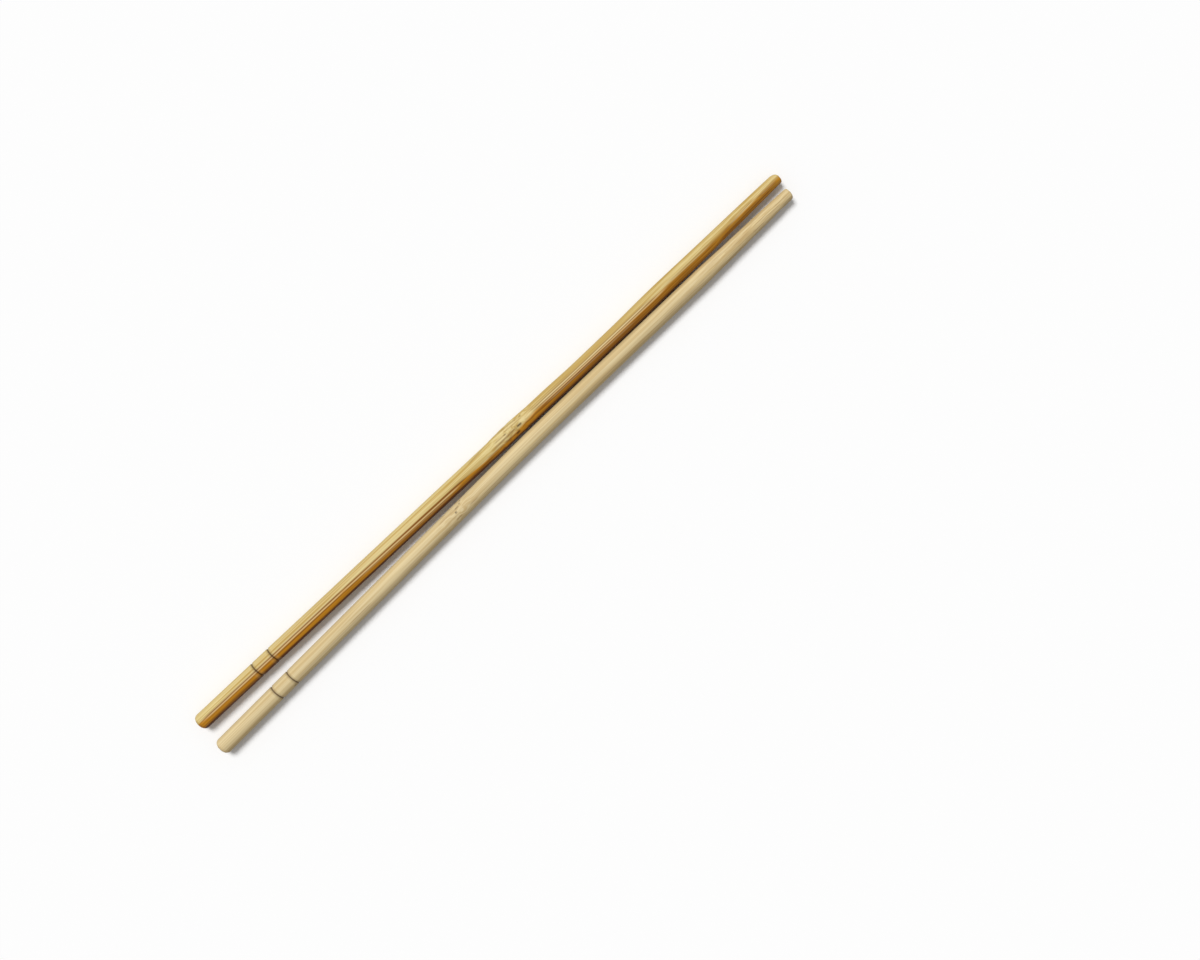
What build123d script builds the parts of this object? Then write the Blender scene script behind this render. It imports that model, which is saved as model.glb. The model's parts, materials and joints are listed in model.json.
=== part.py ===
"""A pair of round disposable bamboo chopsticks, lying loose side by side.

Frame: +X runs from the butts to the tips, +Y from the right stick to the left one, +Z up.
The origin is the bottom centre of the pair's box, and the sticks lie on the plane Z = 0.
Each stick is one turned length of bamboo: a round body with two ring grooves near a rounded
butt, a slight bend where the split of bamboo grew crooked, and a tip that tapers to a cut end.
Millimetres and degrees.
"""
from build123d import *
from math import cos, radians, sin
import os

# what both sticks share
STICK_LENGTH = 230.0
BODY_RADIUS = 2.5
BUTT_ROUNDING = 1.4
TIP_RADIUS = 1.75
TIP_ROUNDING = 0.5

# the two ring grooves, each a shallow vee, measured from the butt
GROOVE_PLACES = (23.3, 29.6)
GROOVE_WIDTH = 0.7
GROOVE_DEPTH = 0.3

# each stick from its tip back: its taper, a straight stretch, then a bend to its left
LEFT_TAPER_LENGTH = 48.0
LEFT_STRAIGHT_LENGTH = 2.0
LEFT_BEND_LENGTH = 40.0
LEFT_BEND_ANGLE = 0.95
RIGHT_TAPER_LENGTH = 34.0
RIGHT_STRAIGHT_LENGTH = 55.0
RIGHT_BEND_LENGTH = 30.0
RIGHT_BEND_ANGLE = -1.2

# the left stick's bamboo node stands proud on one side, as a shallow spindle
KNOT_PLACE = 124.0
KNOT_LENGTH = 22.0
KNOT_RISE = 0.25
KNOT_ANGLE_FROM_LEFT = 30.0

# how the pair lies: the right butt starts behind the left one, the right stick leans to its
# left, and the two all but touch where they come closest
BUTT_STAGGER = 0.5
RIGHT_LEAN = 1.8
PAIR_GAP = 0.2


def butt_run(run_length):
    """The straight run from the butt's end to the start of the bend, turned about X."""
    half_groove = GROOVE_WIDTH / 2
    with BuildPart() as run:
        with BuildSketch() as outline:
            with BuildLine():
                Polyline((0, 0), (0, BODY_RADIUS), (run_length, BODY_RADIUS), (run_length, 0), close=True)
            make_face()
            rim = outline.vertices().sort_by_distance((0, BODY_RADIUS))[0]
            fillet(rim, BUTT_ROUNDING)
            for place in GROOVE_PLACES:
                with BuildLine():
                    Polyline((place - half_groove, BODY_RADIUS), (place, BODY_RADIUS - GROOVE_DEPTH),
                             (place + half_groove, BODY_RADIUS), close=True)
                make_face(mode=Mode.SUBTRACT)
        revolve(axis=Axis.X)
    return run.part


def tip_run(straight_length, taper_length):
    """The straight run from the end of the bend to the tip's cut end, turned about X."""
    run_length = straight_length + taper_length
    with BuildPart() as run:
        with BuildSketch() as outline:
            with BuildLine():
                Polyline((0, 0), (0, BODY_RADIUS), (straight_length, BODY_RADIUS),
                         (run_length, TIP_RADIUS), (run_length, 0), close=True)
            make_face()
            rim = outline.vertices().sort_by_distance((run_length, TIP_RADIUS))[0]
            fillet(rim, TIP_ROUNDING)
        revolve(axis=Axis.X)
    return run.part


def knot():
    """The proud side of a bamboo node: a spindle as thick as the body, set off from its axis.

    Its ends are as far inside the body all round as its middle stands proud on one side.
    """
    half_length = KNOT_LENGTH / 2
    end_radius = BODY_RADIUS - 2 * KNOT_RISE
    with BuildPart() as spindle:
        with BuildSketch():
            with BuildLine():
                Polyline((-half_length, end_radius), (-half_length, 0), (half_length, 0),
                         (half_length, end_radius))
                ThreePointArc((-half_length, end_radius), (0, BODY_RADIUS), (half_length, end_radius))
            make_face()
        revolve(axis=Axis.X)
    aim = radians(KNOT_ANGLE_FROM_LEFT)
    return Pos(KNOT_PLACE, KNOT_RISE * cos(aim), KNOT_RISE * sin(aim)) * spindle.part


def stick(taper_length, straight_length, bend_length, bend_angle):
    """One stick along +X from the origin, whose two straight runs meet in a tangent arc."""
    turn = radians(bend_angle)
    side = 1 if bend_angle > 0 else -1
    bend_radius = bend_length / abs(turn)
    bend_start = STICK_LENGTH - taper_length - straight_length - bend_length
    bend_axis = Axis((bend_start, side * bend_radius, 0), (0, 0, side))
    section = Plane(origin=(bend_start, 0, 0), x_dir=(0, 1, 0), z_dir=(1, 0, 0)) * Circle(BODY_RADIUS)
    bend = revolve(section, axis=bend_axis, revolution_arc=abs(bend_angle))

    to_bend_end = Pos(
        bend_start + bend_radius * sin(abs(turn)),
        side * bend_radius * (1 - cos(turn)),
        0,
    )
    tip = to_bend_end * Rot(0, 0, bend_angle) * tip_run(straight_length, taper_length)
    return butt_run(bend_start) + bend + tip


left = stick(LEFT_TAPER_LENGTH, LEFT_STRAIGHT_LENGTH, LEFT_BEND_LENGTH, LEFT_BEND_ANGLE) + knot()
right = stick(RIGHT_TAPER_LENGTH, RIGHT_STRAIGHT_LENGTH, RIGHT_BEND_LENGTH, RIGHT_BEND_ANGLE)

# the right stick is turned and set well clear of the left one, then slid up to it
right = Pos(-BUTT_STAGGER, -STICK_LENGTH, 0) * Rot(0, 0, RIGHT_LEAN) * right
right = Pos(0, left.distance_to(right) - PAIR_GAP, 0) * right

box = left.bounding_box().add(right.bounding_box())
to_floor = Pos(-box.center().X, -box.center().Y, -box.min.Z)

os.makedirs("parts", exist_ok=True)
for name, solid in {"left_chopstick": left, "right_chopstick": right}.items():
    export_step(to_floor * solid, f"parts/{name}.step")
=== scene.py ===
"""A pair of round disposable bamboo chopsticks: the finish of each stick, the floor and the light.

Each stick is turned from one split of bamboo. Its blank is modelled straight, with a millimetre
as its unit, then it gets the relief of its fibres, is bent where it grew crooked, and is laid
in the frame in metres.
"""

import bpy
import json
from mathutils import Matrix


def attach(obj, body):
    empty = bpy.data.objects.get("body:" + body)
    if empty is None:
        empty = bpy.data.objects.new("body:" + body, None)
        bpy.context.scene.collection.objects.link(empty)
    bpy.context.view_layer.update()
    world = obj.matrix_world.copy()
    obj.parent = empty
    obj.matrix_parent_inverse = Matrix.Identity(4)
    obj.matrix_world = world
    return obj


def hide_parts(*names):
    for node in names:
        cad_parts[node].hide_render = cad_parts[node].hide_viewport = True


bl_info = {
    "name": "Bamboo Chopsticks",
    "version": (1, 0, 0),
    "blender": (4, 5, 0),
    "location": "3D View > Sidebar > Chopsticks",
    "description": "Turned bamboo chopsticks with ring grooves, a grown bend and tapered tips",
    "category": "Object",
}

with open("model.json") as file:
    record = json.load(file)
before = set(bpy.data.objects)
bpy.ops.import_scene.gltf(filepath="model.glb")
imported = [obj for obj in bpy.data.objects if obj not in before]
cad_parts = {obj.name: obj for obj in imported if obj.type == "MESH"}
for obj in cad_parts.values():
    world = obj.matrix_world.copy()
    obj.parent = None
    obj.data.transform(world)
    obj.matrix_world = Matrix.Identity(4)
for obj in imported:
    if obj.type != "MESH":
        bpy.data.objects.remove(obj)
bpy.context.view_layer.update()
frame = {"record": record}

import json
import math
import bmesh
import bpy
from bpy.props import FloatProperty, FloatVectorProperty, IntProperty, PointerProperty
from mathutils import Matrix, Vector, noise

MM = 0.001
MOST_CUTS = 90          # that one subdivision makes in a stretch
SKY_GREY = (0.8, 0.8, 0.8, 1.0)
MOUNTS = {mount["name"]: mount for mount in frame["record"]["mounts"]}
BODY_RADIUS = MOUNTS["left_butt"]["dims"]["r_mm"] * MM


def linear(hex_colour):
    """A linear colour from an sRGB hex value."""
    parts = [int(hex_colour[i:i + 2], 16) / 255 for i in (1, 3, 5)]
    return [p / 12.92 if p <= 0.04045 else ((p + 0.055) / 1.055) ** 2.4 for p in parts]


def size(name, description, default):
    return FloatProperty(name=name, description=description, default=default, unit="LENGTH", precision=5)


def colour(name, description, hex_colour):
    return FloatVectorProperty(name=name, description=description, default=linear(hex_colour),
                               subtype="COLOR", size=3, min=0.0, max=1.0)


class PairSizes(bpy.types.PropertyGroup):
    """What both sticks share."""
    length: size("Length", "From the butt to the tip", 230 * MM)
    body_radius: size("Body radius", "Of the round body", BODY_RADIUS)
    tip_radius: size("Tip radius", "At the cut end of the tip", 1.75 * MM)
    butt_rounding: size("Butt rounding", "Radius of the butt's rounded rim", 1.4 * MM)
    tip_rounding: size("Tip rounding", "Radius of the tip's rim", 0.5 * MM)
    first_groove: size("First groove", "From the butt to the first ring groove", 23.3 * MM)
    second_groove: size("Second groove", "From the butt to the second ring groove", 29.6 * MM)
    groove_width: size("Groove width", "Across the mouth of a ring groove", 0.7 * MM)
    groove_depth: size("Groove depth", "From the body to a groove's bottom", 0.3 * MM)
    groove_skew: size("Groove skew", "How far a groove leans off square, at the stick's sides", 0.16 * MM)
    around: IntProperty(name="Around", description="Vertices round a stick", default=160, min=32)


class LeftStickSizes(bpy.types.PropertyGroup):
    """How the left stick grew."""
    taper_length: size("Taper length", "Of the tip's taper", 48 * MM)
    straight_length: size("Straight length", "Between the bend and the taper", 2 * MM)
    bend_length: size("Bend length", "Over which the stick bends", 40 * MM)
    bend_angle: FloatProperty(name="Bend angle", description="To the stick's left",
                              default=math.radians(0.95), subtype="ANGLE")
    knot_place: size("Knot place", "From the butt to the bamboo's node", 124 * MM)
    knot_length: size("Knot length", "Of the node's proud side", 22 * MM)
    knot_rise: size("Knot rise", "How proud the node stands on one side", 0.25 * MM)


class RightStickSizes(bpy.types.PropertyGroup):
    """How the right stick grew."""
    taper_length: size("Taper length", "Of the tip's taper", 34 * MM)
    straight_length: size("Straight length", "Between the bend and the taper", 55 * MM)
    bend_length: size("Bend length", "Over which the stick bends", 30 * MM)
    bend_angle: FloatProperty(name="Bend angle", description="To the stick's left",
                              default=math.radians(-1.2), subtype="ANGLE")
    knot_place: size("Knot place", "From the butt to the bamboo's node", 98 * MM)


class BambooColours(bpy.types.PropertyGroup):
    """The colours of cut bamboo, from the culm's inner wall to its outer skin, some of which also stand for
    painted shade and highlight.
    """
    pale: colour("Pale", "Inner wall of the left stick's split", "#D9C689")
    pale_fibre: colour("Pale fibre", "Fibre bundles in the pale wood", "#B5903E")
    amber: colour("Amber", "Dense outer wall of the left stick's split", "#CB8606")
    amber_fibre: colour("Amber fibre", "Fibre bundles in the amber wood", "#7C4202")
    # the culm's outer skin, and also painted shade: this dark brown band lies on the left stick's right edge,
    # which faces away from the lamp
    skin: colour("Skin", "Outermost layer of the culm", "#4E1B03")
    cream: colour("Cream", "The right stick's split", "#DCC99C")
    cream_fibre: colour("Cream fibre", "Fibre bundles in the cream wood", "#BA9A60")
    # a pale fibre colour, also used as painted highlight along the right stick's left side and on the ring
    # grooves' lips
    bright: colour("Bright fibre", "A burnished fibre", "#F0DCA6")
    dark: colour("Dark fibre", "A stained fibre", "#6E3604")
    # scars and specks, and at the bottom of each ring groove the darker cut wood together with painted shade
    # in the recess
    scar_and_groove_shade: colour("Scar", "Specks, scorched grooves and scars", "#3C1A04")


class StageSizes(bpy.types.PropertyGroup):
    """The floor, the light and the camera."""
    floor: size("Floor", "Side of the square floor", 6.0)
    key_strength: FloatProperty(name="Key strength", description="Of the distant soft key lamp", default=2.5)
    key_spread: FloatProperty(name="Key spread", description="Angle that the key lamp fills",
                              default=math.radians(22), subtype="ANGLE")
    sky: FloatProperty(name="Sky", description="Strength of the even light from all round", default=0.42)
    lens: FloatProperty(name="Lens", description="Focal length of the camera, in millimetres", default=40.5)
    distance: size("Distance", "From the camera to the floor, along its line of sight", 0.394)


def smooth(low, high, value):
    """0 below low, 1 above high, and a smooth rise between them."""
    t = min(max((value - low) / (high - low), 0.0), 1.0)
    return t * t * (3.0 - 2.0 * t)


def between(points, x):
    """The value at x on a line through points, each a pair of x and value."""
    for (x0, v0), (x1, v1) in zip(points, points[1:]):
        if x <= x1:
            return v0 + (v1 - v0) * max(x - x0, 0.0) / (x1 - x0)
    return points[-1][1]


# --- the straight blank, in millimetres -----------------------------------------------------

def select_in_edit(obj, vertices=None, edges=None, faces=None):
    """Select in edit mode what passes one test: of vertices, of edges or of faces."""
    mesh = bmesh.from_edit_mesh(obj.data)
    for item in (*mesh.verts, *mesh.edges, *mesh.faces):
        item.select_set(False)
    for items, test in ((mesh.verts, vertices), (mesh.edges, edges), (mesh.faces, faces)):
        for item in items if test else ():
            if test(item):
                item.select_set(True)
    mesh.select_flush_mode()
    bmesh.update_edit_mesh(obj.data)


def squeeze_ring(obj, x, share):
    """Bring the ring of vertices at x nearer to the axis."""
    bpy.ops.mesh.select_mode(type="VERT")
    select_in_edit(obj, vertices=lambda v: abs(v.co.x - x) < 1e-3)
    bpy.ops.transform.resize(value=(1, share, share), center_override=(x, 0, 0))


def round_rim(obj, x, radius, segments):
    """Bevel the rim of the end at x to a radius."""
    bpy.ops.mesh.select_mode(type="EDGE")
    select_in_edit(obj, edges=lambda e: all(abs(v.co.x - x) < 1e-3 for v in e.verts))
    bpy.ops.mesh.bevel(offset=radius, segments=segments, profile=0.5, affect="EDGES")


def ring_face(obj, x, rings):
    """Inset the flat end at x in rings towards its middle, and close it with a fan."""
    bpy.ops.mesh.select_mode(type="FACE")
    select_in_edit(obj, faces=lambda f: len(f.verts) > 4 and all(abs(v.co.x - x) < 1e-3 for v in f.verts))
    mesh = bmesh.from_edit_mesh(obj.data)
    face = next(f for f in mesh.faces if f.select)
    step = max(v.co.yz.length for v in face.verts) / (rings + 1)
    for _ in range(rings):
        bpy.ops.mesh.inset(thickness=step)
    bpy.ops.mesh.poke()


def turn_blank(name, pair, taper_length, stations):
    """A straight stick along +X from the origin: grooves, rounded butt, tapered tip, even rings.

    stations are pairs of a place along the stick and the spacing of the rings up to it.
    """
    length = pair.length / MM
    radius = pair.body_radius / MM
    half_groove = pair.groove_width / MM / 2
    grooves = (pair.first_groove / MM, pair.second_groove / MM)

    bpy.ops.object.select_all(action="DESELECT")
    bpy.ops.mesh.primitive_cylinder_add(vertices=pair.around, radius=radius, depth=length,
                                        location=(length / 2, 0, 0), rotation=(0, math.pi / 2, 0))
    stick = bpy.context.object
    stick.name = stick.data.name = name
    bpy.ops.object.transform_apply(location=True, rotation=True, scale=True)
    bpy.ops.object.mode_set(mode="EDIT")

    cuts = [length - taper_length]
    for groove in grooves:
        cuts += [groove - half_groove, groove, groove + half_groove]
    cuts += [place for place, _ in stations if place < length]
    for x in sorted(set(cuts)):
        bpy.ops.mesh.select_all(action="SELECT")
        bpy.ops.mesh.bisect(plane_co=(x, 0, 0), plane_no=(1, 0, 0))

    for groove in grooves:
        squeeze_ring(stick, groove, 1 - pair.groove_depth / MM / radius)
    for x in sorted({cut for cut in cuts if cut > length - taper_length} | {length}):
        drop = (radius - pair.tip_radius / MM) * (x - length + taper_length) / taper_length
        squeeze_ring(stick, x, 1 - drop / radius)

    round_rim(stick, 0, pair.butt_rounding / MM, segments=7)
    round_rim(stick, length, pair.tip_rounding / MM, segments=4)
    ring_face(stick, 0, rings=6)
    ring_face(stick, length, rings=8)

    bpy.ops.mesh.select_mode(type="EDGE")
    start = 0.0
    for place, spacing in stations:
        def runs_along(edge):
            a, b = (v.co for v in edge.verts)
            middle = (a.x + b.x) / 2
            return start < middle < place and abs(a.x - b.x) > 2 * spacing
        while True:
            select_in_edit(stick, edges=runs_along)
            mesh = bmesh.from_edit_mesh(stick.data)
            long_edges = [abs(e.verts[0].co.x - e.verts[1].co.x) for e in mesh.edges if e.select]
            if not long_edges:
                break
            shortest = min(long_edges)
            select_in_edit(stick, edges=lambda e: runs_along(e) and abs(
                abs(e.verts[0].co.x - e.verts[1].co.x) - shortest) < 1e-3)
            cuts_wanted = max(round(shortest / spacing) - 1, 1)
            bpy.ops.mesh.subdivide(number_cuts=min(cuts_wanted, MOST_CUTS))
        start = place
    bpy.ops.object.mode_set(mode="OBJECT")
    return stick


# --- laying a blank in the frame --------------------------------------------------------------

def centre_line(pair, sizes, mount_name):
    """A function from a place along the stick, in millimetres, to its point and heading there."""
    mount = MOUNTS[mount_name]
    inwards = -Vector(mount["axis"])
    heading = math.atan2(inwards.y, inwards.x)
    wall = mount["dims"]["length_mm"] / 2 + pair.butt_rounding / MM
    butt = Vector(mount["pos_m"]) / MM - inwards * wall
    bend_length = sizes.bend_length / MM
    bend_start = (pair.length - sizes.taper_length - sizes.straight_length) / MM - bend_length
    radius = bend_length / sizes.bend_angle

    def at(x):
        turn = min(max((x - bend_start) / radius, min(0.0, sizes.bend_angle)), max(0.0, sizes.bend_angle))
        along = min(x, bend_start) + radius * math.sin(turn)
        beside = radius * (1 - math.cos(turn))
        beyond = max(x - bend_start - bend_length, 0.0)
        along += beyond * math.cos(turn)
        beside += beyond * math.sin(turn)
        point = butt + Matrix.Rotation(heading, 3, "Z") @ Vector((along, beside, 0))
        return point, heading + turn
    return at


def store(mesh, name, values):
    """Keep a vector for each vertex, which the materials read."""
    attribute = mesh.attributes.new(name, "FLOAT_VECTOR", "POINT")
    attribute.data.foreach_set("vector", [part for value in values for part in value])


def lay_stick(stick, relief, tones, lines, line_up):
    """Give each vertex its relief and its notes for the material, then bend and lay the stick.

    relief moves a straight point, tones gives (amber, outer skin with painted shade, coarseness) there, and
    lines gives (dark fibres, pale fibres with painted highlight, scars with painted shade in the grooves).
    The straight place, warped as the fibres are, is kept as "grain".
    """
    grain, tone, line = [], [], []
    for vertex in stick.data.vertices:
        straight = vertex.co.copy()
        grain.append(warp(straight, relief.knots))
        tone.append(tones(straight))
        line.append(lines(straight))
        moved = relief(straight)
        point, heading = line_up(moved.x)
        side = Vector((-math.sin(heading), math.cos(heading), 0))
        vertex.co = (point + side * moved.y + Vector((0, 0, moved.z))) * MM
    store(stick.data, "grain", grain)
    store(stick.data, "tone", tone)
    store(stick.data, "line", line)
    stick.data.update()
    bpy.ops.object.select_all(action="DESELECT")
    stick.select_set(True)
    bpy.context.view_layer.objects.active = stick
    bpy.ops.object.shade_smooth_by_angle(angle=math.radians(50))


def warp(point, knots):
    """Where the fibre at a straight point runs elsewhere: fibres swerve round a knot."""
    y, z = point.y, point.z
    for place, reach, swerve in knots:
        near = math.exp(-((point.x - place) / reach) ** 2)
        if near > 0.01:
            swing = noise.noise(Vector((point.x / 3.1, y / 1.7, z / 1.7)))
            other = noise.noise(Vector((point.x / 2.3 + 40, y / 1.7, z / 1.7)))
            y += swerve * near * swing
            z += swerve * near * other
    return (point.x, y, z)


class Relief:
    """What a turned bamboo stick's surface does away from a true round one, in millimetres."""
    sanding = 0.035        # how far the sanded surface wanders in and out
    ridge = 0.008          # how high a fibre stands on the body
    torn_ridge = 0.02      # and how much higher where the cutter tore it
    ridge_spacing = 0.34
    skew_reach = 1.2       # how far from a groove its lean carries

    def __init__(self, pair, knots):
        self.length = pair.length / MM
        self.radius = pair.body_radius / MM
        self.skew = pair.groove_skew / MM
        self.grooves = (pair.first_groove / MM, pair.second_groove / MM)
        self.knots = knots

    def swell(self, x, side, up):
        """How far the surface stands out, in millimetres, towards a direction across the stick."""
        return 0.0

    def end_shift(self, x, y, z):
        """How far a point at the butt or the tip moves along the stick."""
        return 0.0

    def __call__(self, point):
        x, y, z = point
        out = math.hypot(y, z)
        if out < 1e-6:
            return Vector((x + self.end_shift(x, y, z), y, z))
        side, up = y / out, z / out
        slow = noise.noise(Vector((x / 23, side, up + 7)))
        fibre = noise.noise(Vector((x / 14, y / self.ridge_spacing, z / self.ridge_spacing)))
        height = self.ridge + self.torn_ridge * self.coarseness(x)
        swell = self.sanding * slow + height * fibre + self.swell(x, side, up)
        near_groove = sum(math.exp(-((x - g) / self.skew_reach) ** 2) for g in self.grooves)
        share = (out + swell * smooth(0.3, 1.0, out / self.radius)) / out
        shift = -self.skew * side * near_groove + self.end_shift(x, y, z)
        return Vector((x + shift, y * share, z * share))

    def coarseness(self, x):
        """0 on the sanded body, up to 1 at the tip, where the cutter tore the fibres."""
        return smooth(self.length - 60, self.length - 8, x)


class LeftRelief(Relief):
    """The left stick: a lumpy node on its left side, a waist after it, and a lopsided tip."""
    knot_facing = math.radians(30)    # which way the node stands proud, from the left upwards
    lump = 0.11
    lump_reach = 6.0
    waist_depth = 0.22
    waist = (138, 150, 165, 180)      # where the waist begins, is full, starts to end and ends
    end_roughness = 0.045
    tip_rounding = 1.6                # of the tip's left side

    def __init__(self, pair, sizes):
        place = sizes.knot_place / MM
        super().__init__(pair, knots=((place, 7.0, 1.1),))
        self.place = place
        self.half_knot = sizes.knot_length / MM / 2
        self.rise = sizes.knot_rise / MM
        self.tip_radius = pair.tip_radius / MM

    def swell(self, x, side, up):
        facing = side * math.cos(self.knot_facing) + up * math.sin(self.knot_facing)
        off = x - self.place
        proud = max(self.rise * (facing - 2 * (off / self.half_knot) ** 2), 0.0)
        near = math.exp(-(off / self.lump_reach) ** 2)
        lumps = self.lump * near * noise.noise(Vector((x / 2.2, side * 1.6, up * 1.6)))
        begins, full, ending, ended = self.waist
        narrowing = smooth(begins, full, x) * (1 - smooth(ending, ended, x))
        waist = self.waist_depth * narrowing * max(facing, 0.0)
        return proud + lumps - waist

    def end_shift(self, x, y, z):
        # the tip's rim is rounded far more on its left side than on its right
        start = self.length - 5.0
        if x < start:
            rough = noise.noise(Vector((y / 0.5, z / 0.5, 3.0)))
            return self.end_roughness * rough * (1 - smooth(0.0, 1.5, x))
        inside = self.tip_radius - self.tip_rounding
        beyond = min(max(y - inside, 0.0), self.tip_rounding * 0.98)
        cut = self.tip_rounding - math.sqrt(self.tip_rounding ** 2 - beyond ** 2)
        rough = 0.05 * noise.noise(Vector((y / 0.4, z / 0.4, 9.0)))
        return -(cut - rough) * (x - start) / (self.length - start)


class RightRelief(Relief):
    """The right stick: a sanded node, and a tip shaved in short flats."""
    # each flat: its place, its length, its direction from the top towards the left, its depth
    flats = (
        (199.0, 9.0, -84, 0.10), (207.5, 8.0, -70, 0.13), (213.5, 6.0, -98, 0.20),
        (219.0, 6.5, -76, 0.15), (224.0, 5.0, -92, 0.20), (227.5, 4.5, -62, 0.12),
        (210.0, 9.0, 28, 0.07), (217.0, 8.0, 62, 0.10), (224.5, 7.0, 40, 0.09),
        (221.0, 8.0, -20, 0.06), (205.0, 8.0, 85, 0.09), (216.0, 9.0, 150, 0.12),
    )

    def __init__(self, pair, sizes):
        super().__init__(pair, knots=((sizes.knot_place / MM, 5.0, 0.9),))
        self.place = sizes.knot_place / MM
        self.taper_start = self.length - sizes.taper_length / MM
        self.drop = (pair.body_radius - pair.tip_radius) / sizes.taper_length

    def swell(self, x, side, up):
        lumps = 0.05 * math.exp(-((x - self.place) / 4.0) ** 2) * noise.noise(Vector((x / 2, side, up)))
        here = self.radius - self.drop * max(x - self.taper_start, 0.0)
        cut = 0.0
        for place, length, direction, depth in self.flats:
            off = (x - place) / (length / 2)
            if abs(off) >= 1:
                continue
            aim = math.radians(direction)
            facing = side * math.sin(aim) + up * math.cos(aim)
            plane = here - depth * (1 - off * off)
            if facing * here > plane:
                cut = max(cut, here - plane / facing)
        return lumps - cut

    def end_shift(self, x, y, z):
        start = self.length - 3.0
        if x < start:
            return 0.05 * noise.noise(Vector((y / 0.5, z / 0.5, 5.0))) * (1 - smooth(0.0, 1.5, x))
        rough = 0.07 * noise.noise(Vector((y / 0.45, z / 0.45, 1.0))) - 0.10 * max(-y, 0.0)
        return rough * (x - start) / (self.length - start)


# --- the fibres that stand out one by one, and a painted highlight ----------------------------
# each streak: where it starts and ends along the stick, how far left of the middle it lies at its
# start and its end as seen from above, and its half width, all in millimetres, and its strength.
# Each is drawn wider than it is, so that it shows.
STREAK_WIDENING = 1.45

LEFT_DARK = (
    (0.5, 60, 0.12, 0.02, 0.17, 0.75), (55, 107, 0.02, -0.56, 0.17, 0.7),
    (0.8, 60, -0.52, -0.72, 0.13, 0.35), (55, 101, -0.72, -1.35, 0.15, 0.55),
    (8, 96, 1.62, 1.66, 0.12, 0.14), (16, 88, 0.95, 0.85, 0.12, 0.12),
    (30, 70, 1.98, 2.0, 0.14, 0.16), (91, 102, -1.98, -1.92, 0.16, 0.6),
    (104, 118, -1.9, -1.5, 0.2, 0.55), (64, 98, -1.1, -1.62, 0.12, 0.4),
    (108, 116, 1.7, 2.26, 0.14, 0.45), (116, 127, -0.25, 0.05, 0.17, 0.6),
    (117.5, 123, 0.86, 0.72, 0.13, 0.45), (118.5, 129, 2.3, 1.75, 0.16, 0.45),
    (120, 126.5, -1.0, -1.4, 0.17, 0.6), (121, 130, 1.3, 1.18, 0.12, 0.35),
    (113, 121, -0.95, -1.15, 0.14, 0.4), (130, 180, 0.70, 0.46, 0.14, 0.5),
    (131, 183, 0.06, -0.15, 0.14, 0.6), (132, 204, -0.5, -1.28, 0.15, 0.65),
    (131, 164, -1.08, -1.0, 0.13, 0.4), (128, 150, 1.25, 1.1, 0.12, 0.25),
    (150, 200, -1.5, -1.7, 0.14, 0.45), (186, 206, -1.0, -1.3, 0.16, 0.65),
    (183, 205, 0.3, 0.0, 0.12, 0.3), (203, 229, -1.72, -1.45, 0.26, 0.75),
    (206, 221, -0.5, 0.52, 0.13, 0.45), (214, 222, -0.85, -0.7, 0.14, 0.5),
    (220, 229.5, -0.15, -0.55, 0.15, 0.65), (221, 229.5, -0.75, -1.0, 0.14, 0.6),
    (209, 219, 0.7, 0.95, 0.1, 0.25), (222, 229, 0.5, 0.45, 0.1, 0.35),
)
LEFT_BRIGHT = (
    (1.0, 60, -0.2, -0.34, 0.14, 0.75), (55, 104, -0.34, -1.05, 0.15, 0.75),
    (4, 100, 1.38, 1.38, 0.12, 0.3), (12, 92, 0.5, 0.42, 0.12, 0.3),
    (62, 100, -0.86, -1.5, 0.1, 0.4), (116, 124, 0.3, 0.36, 0.14, 0.5),
    (117, 128, 1.9, 1.45, 0.12, 0.5), (127, 133, 0.55, 0.35, 0.45, 0.35),
    (133, 179, 0.38, 0.16, 0.13, 0.7), (133, 186, -0.2, -0.46, 0.13, 0.65),
    (136, 173, -0.8, -1.02, 0.11, 0.45), (184, 204, -0.1, -0.45, 0.1, 0.4),
    (209, 220.5, -0.12, 0.06, 0.12, 0.6), (219, 226, 0.6, 0.62, 0.11, 0.45),
    (212, 218, 0.2, 0.36, 0.1, 0.4), (222, 228.5, -0.34, -0.5, 0.1, 0.4),
)
LEFT_SCARS = (
    (126.0, 128.0, 0.05, 0.02, 0.2, 0.9), (124.6, 126.3, -1.4, -1.3, 0.2, 0.9),
    (121.5, 122.6, 0.72, 0.74, 0.14, 0.5), (128.2, 129.3, 1.74, 1.7, 0.14, 0.5),
)
RIGHT_DARK = (
    (6, 60, 1.9, 1.85, 0.14, 0.12), (28, 95, -1.25, -1.2, 0.14, 0.16),
    (52, 62, -0.72, -0.75, 0.1, 0.28), (72, 84, -1.0, -1.05, 0.1, 0.22),
    (90, 99, 1.32, 1.32, 0.15, 0.3), (92, 98, -0.3, -0.32, 0.12, 0.16),
    (95.4, 98.2, -1.27, -1.27, 0.12, 0.5), (101, 105, -0.85, -0.95, 0.12, 0.3),
    (104, 150, -1.5, -1.45, 0.12, 0.22), (110, 128, 0.9, 0.8, 0.1, 0.12),
    (125, 160, 0.2, 0.15, 0.1, 0.12), (140, 195, -1.35, -1.4, 0.12, 0.25),
    (176, 200, -0.95, -1.0, 0.1, 0.25), (215, 220.5, 0.42, 0.4, 0.1, 0.3),
    (220, 226, -0.45, -0.5, 0.1, 0.38), (214, 219.5, -1.2, -1.22, 0.12, 0.35),
    (202, 210, -1.92, -1.95, 0.12, 0.35), (206, 214, 0.1, 0.16, 0.09, 0.25),
    (223, 229, 0.3, 0.3, 0.09, 0.3), (196, 206, 1.1, 1.15, 0.09, 0.22),
)
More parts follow.
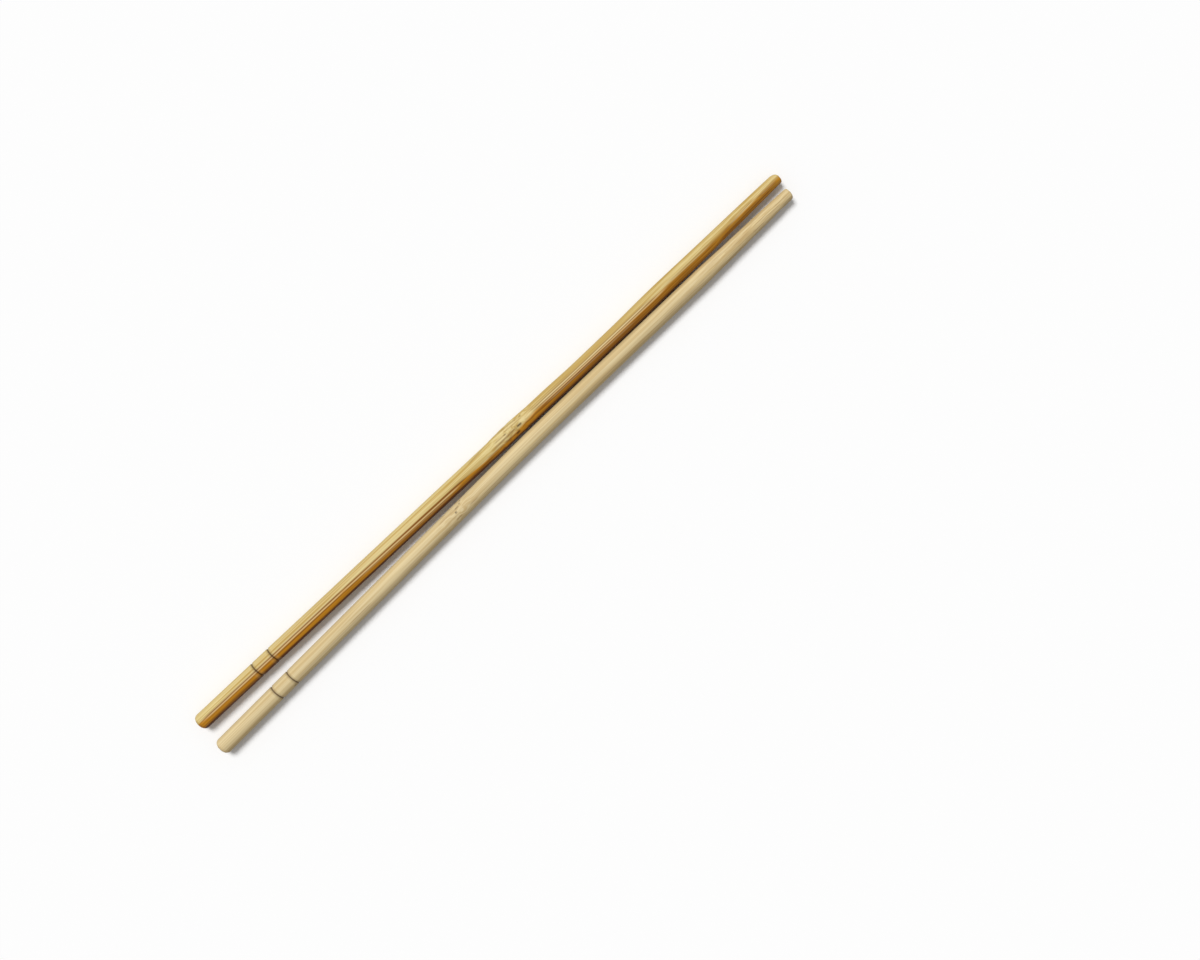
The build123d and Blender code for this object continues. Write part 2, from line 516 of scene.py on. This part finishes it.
RIGHT_BRIGHT = (
    # the two long streaks on this line, along the stick's left side towards the lamp, are a painted
    # highlight; the rest are pale fibres
    (2, 70, 1.45, 1.5, 0.2, 0.2), (60, 200, 1.5, 1.45, 0.2, 0.25),
    (201.5, 204.5, 0.45, 0.45, 0.12, 0.5), (214.5, 220.5, 0.68, 0.64, 0.13, 0.6),
    (220, 226, -0.18, -0.22, 0.13, 0.6), (214.5, 219.5, -0.92, -0.95, 0.12, 0.5),
    (202, 210, -1.66, -1.7, 0.14, 0.5), (190, 201, -0.4, -0.42, 0.1, 0.35),
    (184, 196, 0.8, 0.82, 0.1, 0.25), (222, 228, 0.95, 0.9, 0.1, 0.35),
)
RIGHT_SCARS = (
    (96.7, 97.4, 0.46, 0.46, 0.2, 0.85), (97.2, 99.0, 1.3, 1.36, 0.17, 0.5),
    (99.1, 99.8, 1.62, 1.66, 0.16, 0.75), (99.7, 100.3, 2.2, 2.22, 0.16, 0.6),
    (28.2, 28.9, -2.15, -2.15, 0.2, 0.7),
)


def streak_at(streaks, point, radius):
    """How strongly any of the streaks shows at a straight point, from 0 to 1."""
    x, y, z = point
    if z < -0.2 * radius:
        return 0.0
    most = 0.0
    for start, end, left_start, left_end, half_width, strength in streaks:
        if not start < x < end:
            continue
        share = (x - start) / (end - start)
        left = left_start + (left_end - left_start) * share
        left += 0.05 * noise.noise(Vector((x / 7, left_start * 5, 0)))
        off = math.atan2(y, z) - math.asin(min(max(left / radius, -0.98), 0.98))
        off *= radius / (STREAK_WIDENING * half_width)
        if abs(off) > 2.5:
            continue
        fade = min(0.25 * (end - start), 5.0)
        ends = smooth(start, start + fade, x) * (1 - smooth(end - fade, end, x))
        most = max(most, strength * ends * math.exp(-off * off))
    return most


def groove_dark_and_shade(pair, point):
    """How dark the bottom of a ring groove is at a straight point: darker cut wood, with painted shade in the
    recess.
    """
    x = point.x
    half = pair.groove_width / MM / 2
    return max(math.exp(-((x - g / MM) / (0.85 * half)) ** 2)
               for g in (pair.first_groove, pair.second_groove))


def groove_lip_highlight(pair, point):
    """How strongly the painted highlight on the two lips of a ring groove shows at a straight point."""
    half = pair.groove_width / MM / 2
    return 0.6 * max(math.exp(-((abs(point.x - g / MM) - 1.9 * half) / (0.6 * half)) ** 2)
                     for g in (pair.first_groove, pair.second_groove))


# --- materials ---------------------------------------------------------------------------------

def add_node(tree, kind, links=None, **settings):
    """Add a node: settings are its properties or the values of its inputs, links its inputs' sources."""
    node = tree.nodes.new(kind)
    for key, value in settings.items():
        if hasattr(node, key):
            setattr(node, key, value)
        else:
            node.inputs[key.replace("_", " ")].default_value = value
    for key, source in (links or {}).items():
        tree.links.new(source, node.inputs[key])
    return node


def rgba(colour_value):
    """A colour with full alpha."""
    return (*colour_value, 1.0)


def bamboo(name, wood, wood_fibre, dense, dense_fibre, colours, contrast):
    """Turned bamboo: fibre bundles run the whole length of the stick as fine streaks.

    The inner wall is pale and dull, and the outer wall denser, darker and slightly waxy. Bundles
    are about 0.4 mm across, drawn 0.6 mm apart to show, and fibres of 0.1 mm are 0.16 mm lines.
    """
    material = bpy.data.materials.new(name)
    material.use_nodes = True
    tree = material.node_tree
    tree.nodes.clear()
    grain = add_node(tree, "ShaderNodeAttribute", attribute_name="grain").outputs["Vector"]
    tone = add_node(tree, "ShaderNodeAttribute", attribute_name="tone").outputs["Vector"]
    line = add_node(tree, "ShaderNodeAttribute", attribute_name="line").outputs["Vector"]
    amber, skin, coarse = add_node(tree, "ShaderNodeSeparateXYZ", {"Vector": tone}).outputs
    dark, bright, scar_and_groove_shade = add_node(tree, "ShaderNodeSeparateXYZ", {"Vector": line}).outputs

    def fibres(long, across, detail, roughness=0.55):
        """Streaks this long and this far apart, in millimetres."""
        stretched = add_node(tree, "ShaderNodeMapping", {"Vector": grain}, vector_type="POINT",
                             Scale=(1 / long, 1 / across, 1 / across))
        return add_node(tree, "ShaderNodeTexNoise", {"Vector": stretched.outputs["Vector"]}, Scale=1.0,
                        Detail=detail, Roughness=roughness).outputs["Fac"]

    def spread(value, low, high):
        """Stretch a value's middle range to 0 and 1."""
        return add_node(tree, "ShaderNodeMapRange", {"Value": value}, From_Min=low,
                        From_Max=high).outputs["Result"]

    def feed(sockets, values):
        """Link or set each socket, as its value is another node's output or a constant."""
        for socket, value in zip(sockets, values):
            if isinstance(value, bpy.types.NodeSocket):
                tree.links.new(value, socket)
            else:
                socket.default_value = rgba(value) if socket.type == "RGBA" else value

    def mix(share, first, second):
        """A colour that goes from first to second with share."""
        node = add_node(tree, "ShaderNodeMix", data_type="RGBA")
        feed((node.inputs[0], node.inputs[6], node.inputs[7]), (share, first, second))
        return node.outputs[2]

    def times(first, second):
        """The product of two values."""
        node = add_node(tree, "ShaderNodeMath", operation="MULTIPLY")
        feed(node.inputs, (first, second))
        return node.outputs[0]

    bundles = spread(fibres(45, 0.6, 2.0), 0.42, 0.59)
    fine = spread(fibres(9, 0.16, 3.0, 0.7), 0.35, 0.68)
    broad = spread(fibres(70, 1.5, 1.0), 0.35, 0.65)
    torn = spread(fibres(5, 0.3, 2.0), 0.42, 0.62)

    pale = mix(times(bundles, contrast), wood, wood_fibre)
    pale = mix(times(fine, 0.35 * contrast), pale, wood_fibre)
    pale = mix(times(broad, 0.15), pale, colours.bright)
    outer = mix(times(bundles, 0.75), dense, dense_fibre)
    outer = mix(times(fine, 0.3), outer, wood_fibre)
    body = mix(amber, pale, outer)
    # the dark band on the left stick's right edge: partly outer skin, partly painted shade
    body = mix(skin, body, colours.skin)
    body = mix(times(times(torn, coarse), 0.5), body, wood_fibre)
    # pale fibres, and painted highlight along the right stick's left side and on the groove lips
    body = mix(bright, body, colours.bright)
    body = mix(dark, body, colours.dark)
    # scars and specks, and the ring grooves darkened with painted shade over darker cut wood
    body = mix(scar_and_groove_shade, body, colours.scar_and_groove_shade)

    height = add_node(tree, "ShaderNodeMath", {0: times(bundles, 0.6), 1: times(fine, 0.4)}, operation="ADD")
    height = add_node(tree, "ShaderNodeMath", {0: height.outputs[0], 1: times(dark, -0.8)}, operation="ADD")
    bump = add_node(tree, "ShaderNodeBump", {"Height": height.outputs[0]}, Strength=0.8, Distance=0.03 * MM)
    gloss = add_node(tree, "ShaderNodeMapRange", {"Value": amber}, To_Min=0.62, To_Max=0.42)
    shader = add_node(tree, "ShaderNodeBsdfPrincipled", {
        "Base Color": body,
        "Roughness": gloss.outputs["Result"],
        "Normal": bump.outputs["Normal"],
    }, IOR=1.53, Specular_IOR_Level=0.25)
    add_node(tree, "ShaderNodeOutputMaterial", {"Surface": shader.outputs["BSDF"]})
    return material


def finish_piece(stick, material, node):
    """Give a stick its material and its body, and hide the solid that it stands for."""
    stick.data.materials.clear()
    stick.data.materials.append(material)
    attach(stick, "root")
    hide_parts(node)


# --- operators ----------------------------------------------------------------------------------

class CHOPSTICKS_OT_left(bpy.types.Operator):
    """Turn the left stick: pale on its left, amber on its right, with a lumpy node"""
    bl_idname = "chopsticks.left"
    bl_label = "Left Chopstick"

    def execute(self, context):
        settings = context.scene.chopsticks
        pair, sizes, colours = settings.pair, settings.left, settings.colours
        radius = pair.body_radius / MM
        length = pair.length / MM
        knot = sizes.knot_place / MM
        # rings lie closest at the node, and close along the tip
        stations = ((40, 0.6), (80, 0.6), (knot - 11, 0.6), (knot + 11, 0.32),
                    (170, 0.6), (200, 0.5), (length, 0.42))
        stick = turn_blank("left_stick", pair, sizes.taper_length / MM, stations)
        relief = LeftRelief(pair, sizes)
        # the culm's outer wall faces right and slightly up, and its layers lie square to that
        aim = math.radians(72)
        # the dark band on the outer edge is partly the culm's outer skin and partly painted shade on the side
        # turned away from the lamp
        skin_and_shade_starts, skin_and_shade_full, skin_and_shade_strength = 2.28, 2.42, 0.9
        # how far out the amber wood starts along the stick, from the axis towards the outer wall
        amber_start = ((0, 0.66), (60, 0.74), (100, 1.05), (112, 1.75), (122, 1.7), (134, 0.9), (165, 0.75),
                       (195, 1.0), (215, 0.75), (length, 0.45))

        def tones(point):
            x, y, z = point
            outwards = -y * math.sin(aim) + z * math.cos(aim)
            outwards += 0.10 * noise.noise(Vector((x / 16, y, z)))
            edge = between(amber_start, x)
            soft = 0.08 + 0.35 * smooth(100, 135, x)
            amber = smooth(edge - soft, edge + soft, outwards)
            skin = smooth(skin_and_shade_starts, skin_and_shade_full, outwards) * skin_and_shade_strength
            return (amber, skin, relief.coarseness(x))

        def lines(point):
            # scars, and each ring groove's bottom darkened: darker cut wood with painted shade
            scar_and_groove_shade = max(streak_at(LEFT_SCARS, point, radius), 0.95 * groove_dark_and_shade(pair, point))
            # pale fibres, and a painted highlight on the lips of each ring groove
            bright = max(streak_at(LEFT_BRIGHT, point, radius), groove_lip_highlight(pair, point))
            return (streak_at(LEFT_DARK, point, radius), bright, scar_and_groove_shade)

        lay_stick(stick, relief, tones, lines, centre_line(pair, sizes, "left_butt"))
        material = bamboo("turned_amber_bamboo", colours.pale, colours.pale_fibre, colours.amber,
                          colours.amber_fibre, colours, contrast=0.8)
        finish_piece(stick, material, "left_chopstick")
        return {"FINISHED"}


class CHOPSTICKS_OT_right(bpy.types.Operator):
    """Turn the right stick: cream all over, with a few specks at its node and a shaved tip"""
    bl_idname = "chopsticks.right"
    bl_label = "Right Chopstick"

    def execute(self, context):
        settings = context.scene.chopsticks
        pair, sizes, colours = settings.pair, settings.right, settings.colours
        radius = pair.body_radius / MM
        length = pair.length / MM
        knot = sizes.knot_place / MM
        # rings lie closest at the node and along the tip
        stations = ((40, 0.6), (knot - 7, 0.6), (knot + 7, 0.35), (150, 0.6), (190, 0.6),
                    (length, 0.36))
        stick = turn_blank("right_stick", pair, sizes.taper_length / MM, stations)

        def tones(point):
            x, y, z = point
            # a faintly denser wall along the stick's right side, with painted shade there too, as that side
            # faces away from the lamp
            denser = 0.22 * smooth(0.6, 2.4, -y + 0.3 * noise.noise(Vector((x / 20, 2.0, 0.0))))
            return (denser, 0.0, smooth(length - 60, length - 15, x))

        def lines(point):
            # scars, and each ring groove's bottom darkened: darker cut wood with painted shade
            scar_and_groove_shade = max(streak_at(RIGHT_SCARS, point, radius), 0.9 * groove_dark_and_shade(pair, point))
            # pale fibres, a painted highlight along the stick's left side, and a painted highlight on the
            # lips of each ring groove
            bright = max(streak_at(RIGHT_BRIGHT, point, radius), groove_lip_highlight(pair, point))
            return (streak_at(RIGHT_DARK, point, radius), bright, scar_and_groove_shade)

        lay_stick(stick, RightRelief(pair, sizes), tones, lines, centre_line(pair, sizes, "right_butt"))
        material = bamboo("turned_pale_bamboo", colours.cream, colours.cream_fibre, colours.pale_fibre,
                          colours.pale_fibre, colours, contrast=0.55)
        finish_piece(stick, material, "right_chopstick")
        return {"FINISHED"}


KEY_LEAN = math.radians(32)
CAMERA_AIM = Vector((18.3, -23.3, 0.0)) * MM
CAMERA_LEAN_TO_TIPS = math.radians(0.74)
CAMERA_LEAN_TO_LEFT = math.radians(4.11)
UPRIGHT_HEADING = math.radians(47.0)


class CHOPSTICKS_OT_stage(bpy.types.Operator):
    """Set the pale floor, the soft light from the upper left and the camera looking down"""
    bl_idname = "chopsticks.stage"
    bl_label = "Stage"

    def execute(self, context):
        stage = context.scene.chopsticks.stage
        self.make_floor(stage)
        self.make_light(context, stage)
        self.make_camera(context, stage)
        return {"FINISHED"}

    def make_floor(self, stage):
        """Matt white board. The camera sees it white, and it throws back less than it shows."""
        bpy.ops.object.select_all(action="DESELECT")
        bpy.ops.mesh.primitive_plane_add(size=stage.floor)
        floor = bpy.context.object
        floor.name = "floor"
        material = bpy.data.materials.new("white_board")
        material.use_nodes = True
        tree = material.node_tree
        tree.nodes.clear()
        path = add_node(tree, "ShaderNodeLightPath")
        shown = add_node(tree, "ShaderNodeBsdfDiffuse", Color=rgba(linear("#FCFCFC")))
        bounced = add_node(tree, "ShaderNodeBsdfDiffuse", Color=rgba(linear("#C4C1BF")))
        seen = add_node(tree, "ShaderNodeMixShader", {
            0: path.outputs["Is Camera Ray"], 1: bounced.outputs[0], 2: shown.outputs[0]})
        add_node(tree, "ShaderNodeOutputMaterial", {"Surface": seen.outputs[0]})
        floor.data.materials.append(material)

    def make_light(self, context, stage):
        """A distant soft lamp that leans towards the pair's left, and an even sky."""
        lamp = bpy.data.lights.new("key", "SUN")
        lamp.angle = stage.key_spread
        lamp.energy = stage.key_strength
        key = bpy.data.objects.new("key", lamp)
        key.location = (0.0, math.sin(KEY_LEAN), math.cos(KEY_LEAN))
        key.rotation_euler = (-KEY_LEAN, 0.0, 0.0)
        context.scene.collection.objects.link(key)

        world = bpy.data.worlds.new("sky")
        context.scene.world = world
        world.use_nodes = True
        tree = world.node_tree
        tree.nodes.clear()
        path = add_node(tree, "ShaderNodeLightPath")
        seen = add_node(tree, "ShaderNodeMath", {0: path.outputs["Is Camera Ray"],
                                                 1: path.outputs["Is Transmission Ray"]}, operation="MAXIMUM")
        light = add_node(tree, "ShaderNodeBackground", Color=SKY_GREY, Strength=stage.sky)
        plain_sky = add_node(tree, "ShaderNodeBackground", Color=SKY_GREY, Strength=1.0)
        sky = add_node(tree, "ShaderNodeMixShader", {
            0: seen.outputs[0], 1: light.outputs[0], 2: plain_sky.outputs[0]})
        add_node(tree, "ShaderNodeOutputWorld", {"Surface": sky.outputs[0]})

    def make_camera(self, context, stage):
        """Nearly straight down, with the sticks running from the lower left to the upper right."""
        back = Vector((math.tan(CAMERA_LEAN_TO_TIPS), math.tan(CAMERA_LEAN_TO_LEFT), 1.0)).normalized()
        upright = Vector((math.cos(UPRIGHT_HEADING), math.sin(UPRIGHT_HEADING), 0.0))
        right = upright.cross(back).normalized()
        up = back.cross(right)
        camera_data = bpy.data.cameras.new("camera")
        camera_data.lens = stage.lens
        camera_data.clip_start = 0.01
        camera = bpy.data.objects.new("camera", camera_data)
        placed = Matrix((right, up, back)).transposed().to_4x4()
        placed.translation = CAMERA_AIM + back * stage.distance
        camera.matrix_world = placed
        context.scene.collection.objects.link(camera)
        context.scene.camera = camera
        context.scene.view_settings.view_transform = "Standard"


class CHOPSTICKS_PT_panel(bpy.types.Panel):
    bl_label = "Chopsticks"
    bl_space_type = "VIEW_3D"
    bl_region_type = "UI"
    bl_category = "Chopsticks"

    def draw(self, context):
        settings = context.scene.chopsticks
        for operator in OPERATORS:
            self.layout.operator(operator.bl_idname)
        for group in (settings.pair, settings.left, settings.right, settings.colours, settings.stage):
            box = self.layout.box()
            for key in group.__annotations__:
                box.prop(group, key)


class ChopstickSettings(bpy.types.PropertyGroup):
    """All that a user would change."""
    pair: PointerProperty(name="Pair", description="What both sticks share", type=PairSizes)
    left: PointerProperty(name="Left", description="The left stick", type=LeftStickSizes)
    right: PointerProperty(name="Right", description="The right stick", type=RightStickSizes)
    colours: PointerProperty(name="Colours", description="Of the bamboo", type=BambooColours)
    stage: PointerProperty(name="Stage", description="Floor, light and camera", type=StageSizes)


OPERATORS = (CHOPSTICKS_OT_stage, CHOPSTICKS_OT_left, CHOPSTICKS_OT_right)
CLASSES = (PairSizes, LeftStickSizes, RightStickSizes, BambooColours, StageSizes, ChopstickSettings,
           *OPERATORS, CHOPSTICKS_PT_panel)


def register():
    for cls in CLASSES:
        bpy.utils.register_class(cls)
    bpy.types.Scene.chopsticks = PointerProperty(type=ChopstickSettings)


def unregister():
    del bpy.types.Scene.chopsticks
    for cls in reversed(CLASSES):
        bpy.utils.unregister_class(cls)


def main():
    register()
    bpy.ops.chopsticks.stage()
    bpy.ops.chopsticks.left()
    bpy.ops.chopsticks.right()


if __name__ == "__main__":
    main()
